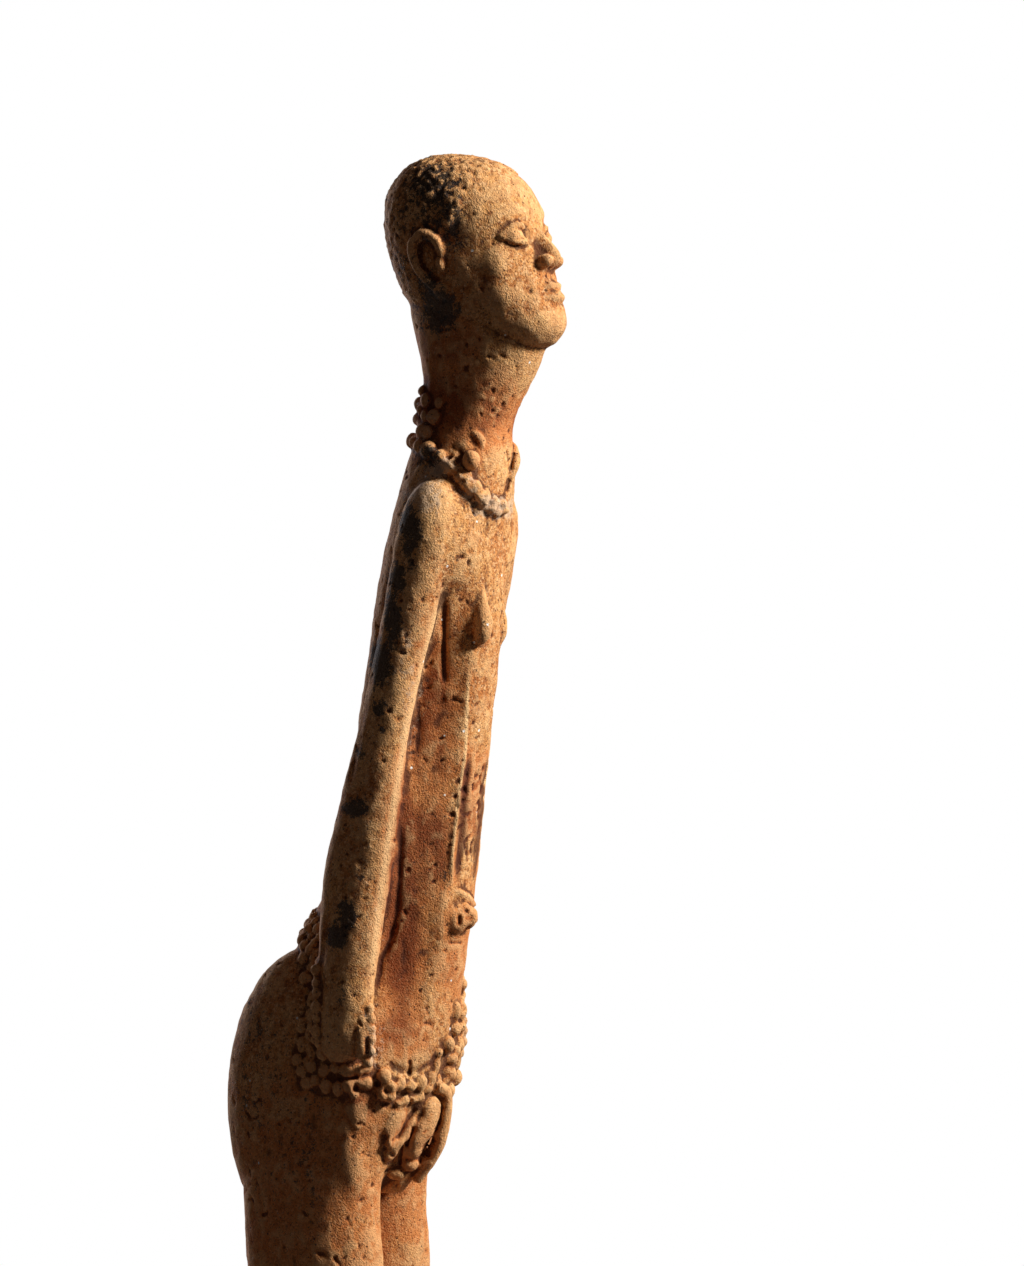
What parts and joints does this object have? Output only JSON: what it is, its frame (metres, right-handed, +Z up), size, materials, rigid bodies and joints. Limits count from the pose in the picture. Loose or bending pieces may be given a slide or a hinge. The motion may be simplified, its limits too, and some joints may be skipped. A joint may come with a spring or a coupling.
{
  "type": "standing terracotta figure",
  "caption": "Tall leaning standing figure of coarse fired clay on a low oval base, with arms at the sides, bead belt and bead necklace.",
  "frame": {"origin": "centre of the base's flat underside", "axes": "+Z up along the height, -Y to the figure's front, +X to the figure's own left"},
  "size_m": [0.1012, 0.1572, 0.6195],
  "materials": {
    "terracotta": "unglazed, coarse, worn and dusty"
  },
  "bodies": {
    "root": {"figure": "terracotta"}
  },
  "joints": []
}
